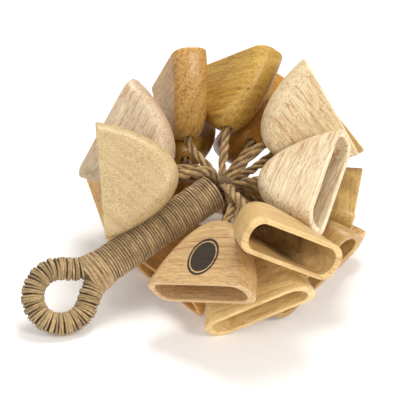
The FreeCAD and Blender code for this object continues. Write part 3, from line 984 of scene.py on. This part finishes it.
# ------------------------------------------------------------------ cords
CORD_RADIUS, CORD_PITCH = 4.0, 35.0
CORD_LIGHT, CORD_DARK = (0.86, 0.73, 0.51), (0.48, 0.36, 0.20)
KNOT_DEPTH = 16.0  # from the dome's apex to the knot's middle, inside the cavity
KNOT_SIZE, KNOT_ROPE, KNOT_PITCH = 3.9, 2.75, 15.0
TAIL_ROPE, TAIL_PITCH = 2.5, 14.0


def cord_swell(fraction):
    """The cord is squeezed at its root and where the dome's hole holds it."""
    from_root = np.clip(fraction / 0.32, 0, 1)
    from_hole = np.clip((1.0 - fraction) / 0.36, 0, 1)
    return 0.79 + 0.21 * from_root * from_hole ** 0.6


def cord_curve(place, along, end, rng):
    """From the root to the dome; hand-laid cords are never quite true."""
    root, guide_1, guide_2 = (
        point - ORIGIN for point in (place.root, place.guide_1, place.guide_2))
    t = np.linspace(0, 1, 60)[:, None]
    sideways = unit(np.cross(along, rng.normal(size=3)))
    sway = 0.35 * np.sin(np.pi * t) * np.sin(5 * t + rng.uniform(0, 6))
    return bezier(root, guide_1, guide_2, end, 60) + sideways * sway


def stopper_knot(middle, width, normal, along, rng):
    """A trefoil pulled tight, its axis along the cord, and a short tail."""
    t = np.linspace(0, 2 * math.pi, 90)
    x = (np.sin(t) + 2 * np.sin(2 * t)) / 3 * KNOT_SIZE
    y = (np.cos(t) - 2 * np.cos(2 * t)) / 3 * KNOT_SIZE
    z = -np.sin(3 * t) / 3 * KNOT_SIZE * 1.15
    path = middle + np.outer(x, width) + np.outer(y, normal) + np.outer(z, along)
    knot = laid_rope(path, KNOT_ROPE, KNOT_PITCH, rng.uniform(0, 6), rng, sides=7)
    reach = along * 5.0 + width * rng.uniform(-3, 3) + normal * rng.uniform(-2, 2)
    tail = middle + along * 2.0 + np.outer(np.linspace(0, 1, 8), reach)
    return knot + laid_rope(tail, TAIL_ROPE, TAIL_PITCH, 0.3, rng, sides=7)


def build_cord(number, place):
    rng = np.random.default_rng(int(number) * 7 + 1)
    width, normal, along = shell_axes(place)
    apex = place.apex - ORIGIN
    root = place.root - ORIGIN
    end = apex - along
    knot = apex + along * KNOT_DEPTH
    start = root + unit(HUB_CENTRE - root) * 4.0
    curve = cord_curve(place, along, end, rng)
    path = np.concatenate([
        [start], curve, [end + along * 3.0], [end + along * 8.0], [knot - along * 1.5]])
    parts = laid_rope(path, CORD_RADIUS, CORD_PITCH, rng.uniform(0, 6.28), rng, sides=10,
                      taper=cord_swell)
    parts += stopper_knot(knot, width, normal, along, rng)
    parts += hairs(curve, radius=3.9, count=70, longest=6.0, rng=rng)
    jute = jute_material("jute_cord_" + number, CORD_LIGHT, CORD_DARK, int(number), groove=0.6)
    add_rope("cord_%s_rope" % number, parts, jute, body="shell_%s_on_cord" % number,
             replaces="cord_" + number)


# ------------------------------------------------------------------ handle
HANDLE_START, HANDLE_END = 4.5, 129.0  # along HANDLE_AXIS from HUB_POINT
HANDLE_BASE = HUB_POINT + HANDLE_AXIS * HANDLE_END
HANDLE_TWINE, HANDLE_TWINE_PITCH = 1.04, 2.36
HANDLE_WIND_RADIUS, HANDLE_FILL_RADIUS = 14.9, 14.0
TWINE_PLY = 0.14


def handle_line(first, last, count):
    return np.stack([HUB_POINT + HANDLE_AXIS * s for s in np.linspace(first, last, count)])


def handle_winding(rng):
    """Each turn sits a little high or low and a little off its pitch."""
    first, last = HANDLE_START + 1.2, HANDLE_END - 1.0
    normal = unit(np.cross(HANDLE_AXIS, [0, 0, 1.0]))
    binormal = np.cross(HANDLE_AXIS, normal)
    turns = (last - first) / HANDLE_TWINE_PITCH
    angle = np.linspace(0, turns * 2 * math.pi, int(turns * 36))
    turn_ids = np.arange(int(turns) + 3)
    high = rng.normal(0, 0.16, len(turn_ids))
    off_pitch = rng.normal(0, 0.225, len(turn_ids))
    turn = angle / (2 * math.pi)
    radius = (HANDLE_WIND_RADIUS + np.interp(turn, turn_ids, high)
              + 0.10 * np.sin(angle * 1.7 + 1))
    s = (first + (last - first) * angle / angle[-1] + np.interp(turn, turn_ids, off_pitch)
         + 0.25 * np.sin(angle))
    return (HUB_POINT + np.outer(s, HANDLE_AXIS) + np.outer(radius * np.cos(angle), normal)
            + np.outer(radius * np.sin(angle), binormal))


def build_handle(twine, rng):
    winding = handle_winding(rng)
    radii = uneven(HANDLE_TWINE, swing=0.07, ripple=260, count=len(winding), rng=rng)
    axis_points = HUB_POINT + np.outer((winding - HUB_POINT) @ HANDLE_AXIS, HANDLE_AXIS)
    fill = handle_line(HANDLE_START + 0.6, HANDLE_END - 0.5, 60)
    parts = [
        tube(winding, radii, sides=8, ply=TWINE_PLY, ply_pitch=4.2, centre=axis_points),
        # painted shade: the fill under the turns has lift 0, so it is painted in the darkest
        # groove shade
        tube(fill, HANDLE_FILL_RADIUS, sides=48, lift=0.0),
    ]
    parts += hairs(handle_line(8, 126, 80), radius=15.9, count=900, longest=7.0, rng=rng)
    add_rope("handle_twine", parts, twine, body="handle",
             replaces="handle_wrap")


# ------------------------------------------------------------------ loop
LOOP_LENGTH, LOOP_HALF, LOOP_WIDEST, LOOP_NECK = 61.0, 23.2, 37.0, 7.5
ROUND = 0.5523  # Bezier handle length of a quarter circle of radius 1
LOOP_TWINE, LOOP_TWINE_PITCH = 1.16, 2.2
LOOP_WIND_RADIUS, LOOP_FILL_RADIUS = 8.65, 7.9
LOOP_BUNCH = 3.0  # turns in each bunch


def loop_half(sign):
    """One leg, from the neck to the loop's far end."""
    def at(x, y):
        return HANDLE_BASE + HANDLE_AXIS * x + LOOP_ACROSS * (sign * y)

    rest = LOOP_LENGTH - LOOP_WIDEST
    leg = bezier(at(0, LOOP_NECK), at(0.48 * LOOP_WIDEST, LOOP_NECK),
                 at(0.58 * LOOP_WIDEST, LOOP_HALF), at(LOOP_WIDEST, LOOP_HALF), 80)
    bow = bezier(at(LOOP_WIDEST, LOOP_HALF), at(LOOP_WIDEST + ROUND * rest, LOOP_HALF),
                 at(LOOP_LENGTH, ROUND * LOOP_HALF), at(LOOP_LENGTH, 0), 80)
    return np.concatenate([leg, bow[1:]])


def loop_winding(path, rng):
    """Uneven turns round the loop that lie in bunches with a groove between them."""
    path, s = resample(path, 0.5)
    _, normals, binormals = path_frames(path, first_normal=LOOP_NORMAL)
    turns = s[-1] / LOOP_TWINE_PITCH
    angle = np.linspace(0, turns * 2 * math.pi, int(turns * 34))
    turn_ids = np.arange(int(turns) + 3)
    high = rng.normal(0, 0.13, len(turn_ids))
    off_pitch = rng.normal(0, 0.16, len(turn_ids))
    turn = angle / (2 * math.pi)
    where = s[-1] * angle / angle[-1] + np.interp(turn, turn_ids, off_pitch)
    where = np.clip(where, 0, s[-1])
    in_bunch = (turn / LOOP_BUNCH + 0.15 * np.sin(turn * 0.7)) % 1.0
    groove = np.clip(1 - np.minimum(in_bunch, 1 - in_bunch) / 0.20, 0, 1)
    radius = LOOP_WIND_RADIUS + np.interp(turn, turn_ids, high) - 0.85 * groove + 0.15
    where = where + LOOP_TWINE_PITCH * 0.26 * np.sin(2 * math.pi * in_bunch)
    where = np.clip(where, 0, s[-1])
    normal = sample(normals, s, where)
    binormal = sample(binormals, s, where)
    normal /= np.linalg.norm(normal, axis=1)[:, None]
    binormal /= np.linalg.norm(binormal, axis=1)[:, None]
    return (sample(path, s, where) + normal * (radius * np.cos(angle))[:, None]
            + binormal * (radius * np.sin(angle))[:, None])


def build_loop(twine, rng):
    path = np.concatenate([loop_half(1), loop_half(-1)[::-1][1:]])
    winding = loop_winding(path, rng)
    count, sides = len(winding), 8
    radii = uneven(LOOP_TWINE, swing=0.06, ripple=190, count=count, rng=rng)
    near = resample(path, 0.5)[0]
    centre = np.array([near[np.argmin(((near - p) ** 2).sum(1))] for p in winding])
    verts, faces, uvs, lifts = tube(winding, radii, sides=sides, ply=TWINE_PLY, centre=centre)
    # painted shade: the turns at the bottom of each groove are marked low, so the shader paints
    # them dark
    low = np.clip((8.6 - np.linalg.norm(winding - centre, axis=1)) / 2.2, 0, 1)
    lifts = np.array(lifts)
    lifts[: count * sides] -= np.repeat(low, sides) * 0.5
    parts = [
        (verts, faces, uvs, np.clip(lifts, 0, 1).tolist()),
        # painted shade: the fill under the turns has lift 0.15, so it is painted dark between them
        tube(path, LOOP_FILL_RADIUS, sides=32, first_normal=LOOP_NORMAL, lift=0.15),
    ]
    parts += hairs(path, radius=9.9, count=700, longest=7.0, rng=rng)
    add_rope("loop_twine", parts, twine, body="handle", replaces="loop_wrap")


NECK_TWINE, NECK_TURNS = 1.35, 9
NECK_START, NECK_LENGTH = -6.0, 16.0      # along HANDLE_AXIS from HANDLE_BASE
NECK_HALF_ACROSS = (15.2, 15.6)           # half-axis in the loop's plane, start and end
NECK_HALF_NORMAL = (15.0, 9.2)            # half-axis square to that plane, start and end


def build_neck(twine):
    """Binding turns from the round handle down to the loop's two legs."""
    angle = np.linspace(0, NECK_TURNS * 2 * math.pi, NECK_TURNS * 60)
    q = angle / angle[-1]
    s = NECK_START + NECK_LENGTH * q + 0.5 * np.sin(angle * 0.5)
    half_across = (NECK_HALF_ACROSS[0] * (1 - q) + NECK_HALF_ACROSS[1] * q
                   + 0.9 * np.sin(np.pi * q))
    half_normal = NECK_HALF_NORMAL[0] * (1 - q) + NECK_HALF_NORMAL[1] * q
    centre = HANDLE_BASE + np.outer(s, HANDLE_AXIS)
    path = (centre + np.outer(half_across * np.cos(angle), LOOP_ACROSS)
            + np.outer(half_normal * np.sin(angle), LOOP_NORMAL))
    radii = NECK_TWINE * (1 + 0.05 * np.sin(angle * 3.1))
    parts = [tube(path, radii, sides=8, ply=TWINE_PLY, centre=centre)]
    add_rope("neck_binding", parts, twine, body="handle")


# ------------------------------------------------------------------ hub
HUB_RINGS, HUB_RING_RADIUS, HUB_TWINE, HUB_FILL_RADIUS = 15, 9.4, 1.35, 9.0


def build_hub(rng):
    """Twine rings at random slants, over a solid ball so that no light comes through."""
    t = np.linspace(0, 2 * math.pi, 49)
    parts = []
    for _ in range(HUB_RINGS):
        axis = unit(rng.normal(size=3))
        side = unit(np.cross(axis, [0.3, 0.5, 0.8]))
        up = np.cross(axis, side)
        middle = HUB_CENTRE + axis * rng.uniform(-5.0, 5.0)
        offset = np.linalg.norm(middle - HUB_CENTRE)
        radius = math.sqrt(max(HUB_RING_RADIUS ** 2 - offset ** 2, 9))
        path = (middle + np.outer(radius * np.cos(t), side)
                + np.outer(radius * np.sin(t), up))
        parts.append(tube(path, HUB_TWINE, sides=8, ply=0.15, centre=HUB_CENTRE))
    # painted shade: the ball under the rings has lift 0.1, so it is painted dark between them
    theta = np.linspace(0.12, math.pi - 0.12, 16)
    fill = HUB_CENTRE + np.outer(-HUB_FILL_RADIUS * np.cos(theta), HANDLE_AXIS)
    parts.append(tube(fill, HUB_FILL_RADIUS * np.sin(theta) + 0.3, sides=20, lift=0.1))
    # painted shade: the hub's twine is given much darker colours than the handle's twine, for the
    # shade in the middle of the cluster
    jute = jute_material("jute_hub_painted_shade", (0.50, 0.39, 0.26), (0.24, 0.17, 0.10), seed=55)
    add_rope("hub_twine", parts, jute, body="handle",
             replaces="hub_lashing")


def finish_cores():
    """The two hidden cores keep their CAD shape."""
    material = core_material()
    for name in ("handle_core", "loop_core"):
        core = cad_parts[name]
        core.data.materials.clear()
        core.data.materials.append(material)


# ------------------------------------------------------------------ stage
LIGHT_TARGET = (0.0, 0.0, 0.08)
CAMERA_PLACE = np.array([-18.92, -1133.14, 727.34])  # before ORIGIN is taken off
CAMERA_TILT = 60.0                                   # degrees up from straight down


def build_floor():
    bpy.ops.mesh.primitive_plane_add(size=12, location=(0, 0, 0))
    floor = bpy.context.object
    floor.name = "floor"
    shader = Shader("floor")
    patches = shader.noise(shader.coordinates(), scale=6.0)
    shader.surface({
        "Base Color": shader.ramp(patches, [
            (0.3, (0.93, 0.93, 0.93)), (0.7, (0.95, 0.95, 0.95))]),
        "Emission Color": (1, 1, 1, 1),
        "Emission Strength": 0.16,
        "Roughness": 0.9,
        "Specular IOR Level": 0.1,
    })
    floor.data.materials.append(shader.material)


def set_world():
    world = bpy.data.worlds.new("studio")
    bpy.context.scene.world = world
    world.use_nodes = True
    background = world.node_tree.nodes["Background"]
    background.inputs["Color"].default_value = (1.0, 0.97, 0.93, 1)
    background.inputs["Strength"].default_value = 0.50


def area_light(name, location, size, power, color=(1, 1, 1)):
    """A square light, in metres and watts, that faces LIGHT_TARGET."""
    light = bpy.data.lights.new(name, "AREA")
    light.shape = "SQUARE"
    light.size = size
    light.energy = power
    light.color = color
    lamp = link_object(name, light)
    lamp.location = location
    aim = Vector(LIGHT_TARGET) - Vector(location)
    lamp.rotation_euler = aim.to_track_quat("-Z", "Y").to_euler()


def set_camera():
    lens = bpy.data.cameras.new("camera")
    lens.sensor_width = 36.0
    lens.lens = 136.044
    camera = link_object("camera", lens)
    camera.location = tuple((CAMERA_PLACE - ORIGIN) * MM)
    camera.rotation_euler = (math.radians(CAMERA_TILT), 0, 0)
    scene = bpy.context.scene
    scene.camera = camera
    scene.view_settings.view_transform = "Standard"
    scene.view_settings.look = "None"


# ------------------------------------------------------------------ build
build_shells()
for number, place in PLACES.items():
    build_cord(number, place)

# the handle, loop and hub draw from one generator, in this order
twine_rng = np.random.default_rng(5)
twine = jute_material("jute_twine", (0.98, 0.86, 0.67), (0.60, 0.47, 0.30), seed=77, lay=1.6)
loop_twine = jute_material("jute_twine_loop", (0.92, 0.81, 0.61), (0.52, 0.41, 0.26),
                           seed=78, lay=1.6)
build_handle(twine, twine_rng)
build_loop(loop_twine, twine_rng)
build_neck(twine)
build_hub(twine_rng)
finish_cores()

build_floor()
set_world()
area_light("top", location=(0.15, 0.30, 1.25), size=0.55, power=10.5,
           color=(1.0, 0.985, 0.96))
area_light("key", location=(0.75, -0.85, 0.85), size=0.35, power=7.5,
           color=(1.0, 0.98, 0.95))
area_light("fill", location=(-0.9, -0.8, 0.7), size=0.8, power=3.0)
set_camera()

bpy.context.view_layer.update()
